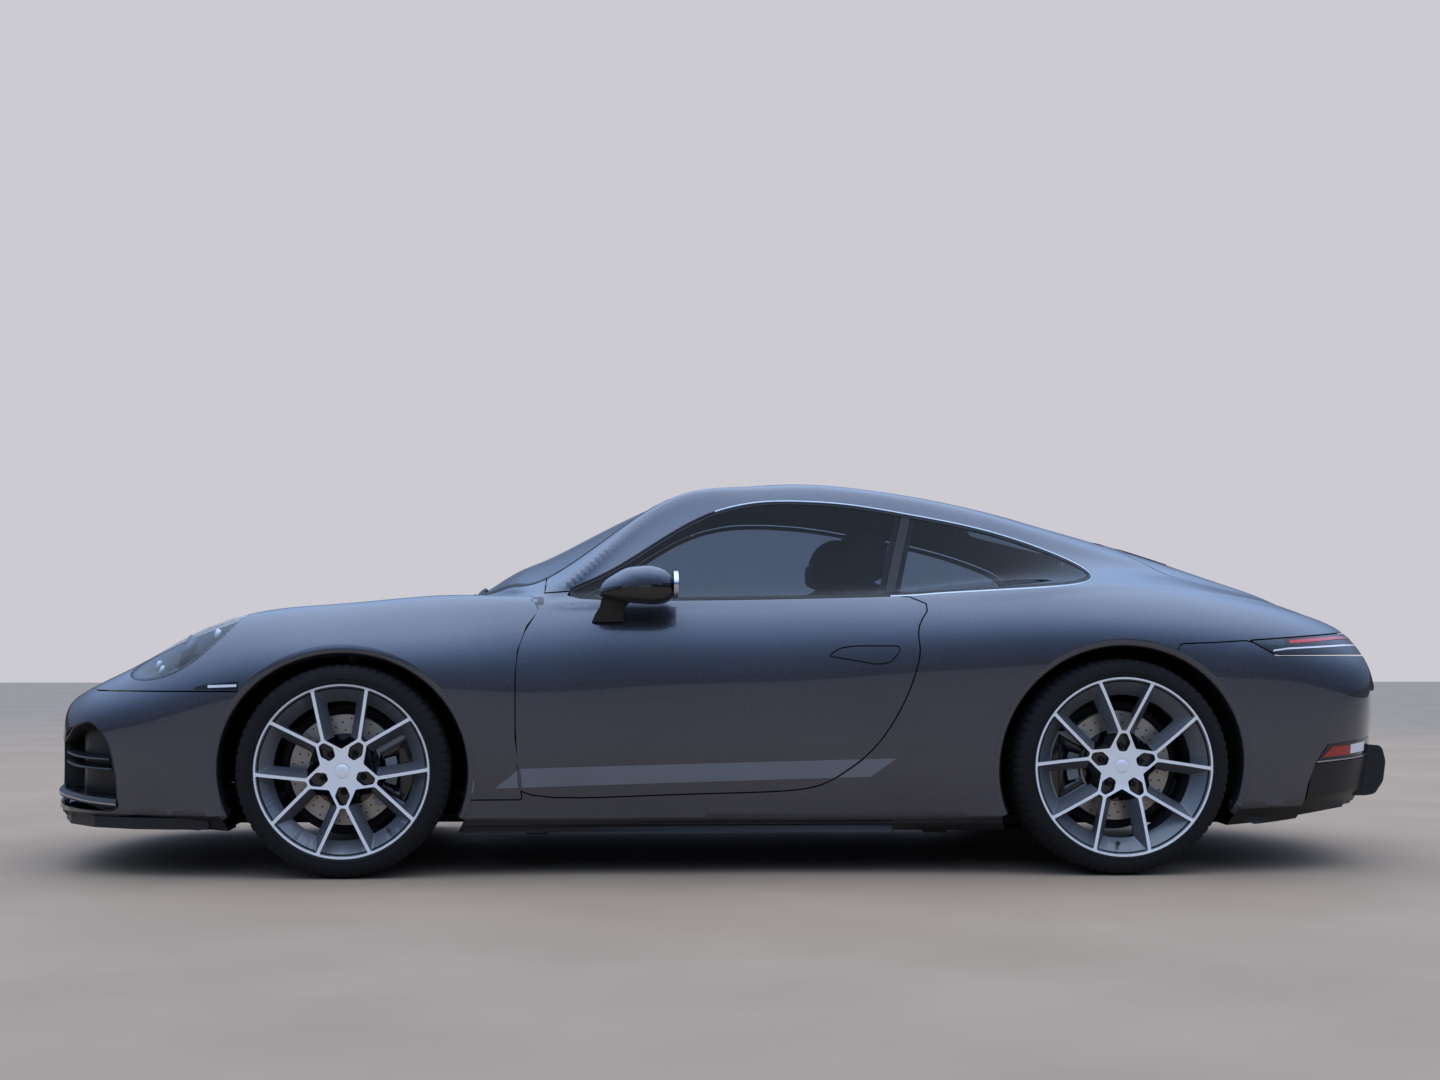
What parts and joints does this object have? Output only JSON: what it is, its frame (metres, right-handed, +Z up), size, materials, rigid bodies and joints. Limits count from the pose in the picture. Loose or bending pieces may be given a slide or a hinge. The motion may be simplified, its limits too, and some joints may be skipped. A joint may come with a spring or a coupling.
{
  "type": "coupe car",
  "caption": "Two-door rear-engined coupe with opening doors and lids, steering front wheels and a furnished cabin.",
  "frame": {"origin": "on the ground under the middle of the length and width", "axes": "+X to the tail, +Y to the car's right, +Z up"},
  "size_m": [4.542, 2.033, 1.293],
  "materials": {
    "paint": "gloss",
    "black_plastic": "satin",
    "glass": "gloss",
    "headlamp": "gloss",
    "tail_lamp": "gloss",
    "interior": "satin",
    "leather": "satin",
    "underbody": "matt",
    "chassis": "matt",
    "strut": "satin",
    "engine": "matt",
    "exhaust": "gloss",
    "rim": "satin",
    "tyre": "matt",
    "disc": "satin"
  },
  "bodies": {
    "shell": {"body_side_left": "paint", "body_side_right": "paint", "bulkheads": "black_plastic", "cowl_panel": "paint", "dashboard": "interior", "diffuser": "black_plastic", "engine_block": "engine", "exhaust": "exhaust", "floor_pan": "underbody", "front_bumper": "paint", "front_grille": "black_plastic", "front_seats": "leather", "front_splitter": "black_plastic", "front_struts": "strut", "front_subframe": "chassis", "front_wings": "paint", "headlamps": "headlamp", "luggage_tub": "black_plastic", "quarter_windows": "glass", "rear_bench": "leather", "rear_bumper": "paint", "rear_knuckles": "chassis", "rear_struts": "strut", "rear_subframe": "chassis", "rear_window": "glass", "roof": "paint", "steering_wheel": "interior", "tail_lamp": "tail_lamp", "wheel_liners": "black_plastic", "windscreen": "glass"},
    "front_lid": {"front_lid": "paint"},
    "rear_lid": {"rear_lid": "paint"},
    "door_left": {"door_left": "paint", "door_glass_left": "glass", "mirror_left": "paint"},
    "knuckle_front_left": {"knuckle_front_left": "chassis"},
    "wheel_front_left": {"rim_front_left": "rim", "tyre_front_left": "tyre", "disc_front_left": "disc"},
    "wheel_rear_left": {"rim_rear_left": "rim", "tyre_rear_left": "tyre", "disc_rear_left": "disc"},
    "door_right": {"door_right": "paint", "door_glass_right": "glass", "mirror_right": "paint"},
    "knuckle_front_right": {"knuckle_front_right": "chassis"},
    "wheel_front_right": {"rim_front_right": "rim", "tyre_front_right": "tyre", "disc_front_right": "disc"},
    "wheel_rear_right": {"rim_rear_right": "rim", "tyre_rear_right": "tyre", "disc_rear_right": "disc"}
  },
  "joints": [
    {"name": "steer_left", "type": "hinge", "parent": "shell", "child": "knuckle_front_left", "pos_m": [-1.241, -0.732, 0.196], "axis": [0, 0.2287, 0.9735], "range_deg": [-35, 35]},
    {"name": "wheel_front_left", "type": "hinge", "parent": "knuckle_front_left", "child": "wheel_front_left", "pos_m": [-1.241, -0.7945, 0.334], "axis": [0, 1, 0], "continuous": true},
    {"name": "wheel_rear_left", "type": "hinge", "parent": "shell", "child": "wheel_rear_left", "pos_m": [1.209, -0.7785, 0.343], "axis": [0, 1, 0], "continuous": true},
    {"name": "door_left_hinge", "type": "hinge", "parent": "shell", "child": "door_left", "pos_m": [-0.7075, -0.89, 0.5], "axis": [0, 0, -1], "range_deg": [0, 65]},
    {"name": "steer_right", "type": "hinge", "parent": "shell", "child": "knuckle_front_right", "pos_m": [-1.241, 0.732, 0.196], "axis": [0, -0.2287, 0.9735], "range_deg": [-35, 35]},
    {"name": "wheel_front_right", "type": "hinge", "parent": "knuckle_front_right", "child": "wheel_front_right", "pos_m": [-1.241, 0.7945, 0.334], "axis": [0, 1, 0], "continuous": true},
    {"name": "wheel_rear_right", "type": "hinge", "parent": "shell", "child": "wheel_rear_right", "pos_m": [1.209, 0.7785, 0.343], "axis": [0, 1, 0], "continuous": true},
    {"name": "door_right_hinge", "type": "hinge", "parent": "shell", "child": "door_right", "pos_m": [-0.7075, 0.89, 0.5], "axis": [0, 0, 1], "range_deg": [0, 65]},
    {"name": "front_lid_hinge", "type": "hinge", "parent": "shell", "child": "front_lid", "pos_m": [-0.83, 0, 0.874], "axis": [0, 1, 0], "range_deg": [0, 55]},
    {"name": "rear_lid_hinge", "type": "hinge", "parent": "shell", "child": "rear_lid", "pos_m": [1.344, 0, 1.0865], "axis": [0, -1, 0], "range_deg": [0, 45]}
  ],
  "couplings": [
    {"joint": "steer_right", "follows": "steer_left", "ratio": 1}
  ]
}
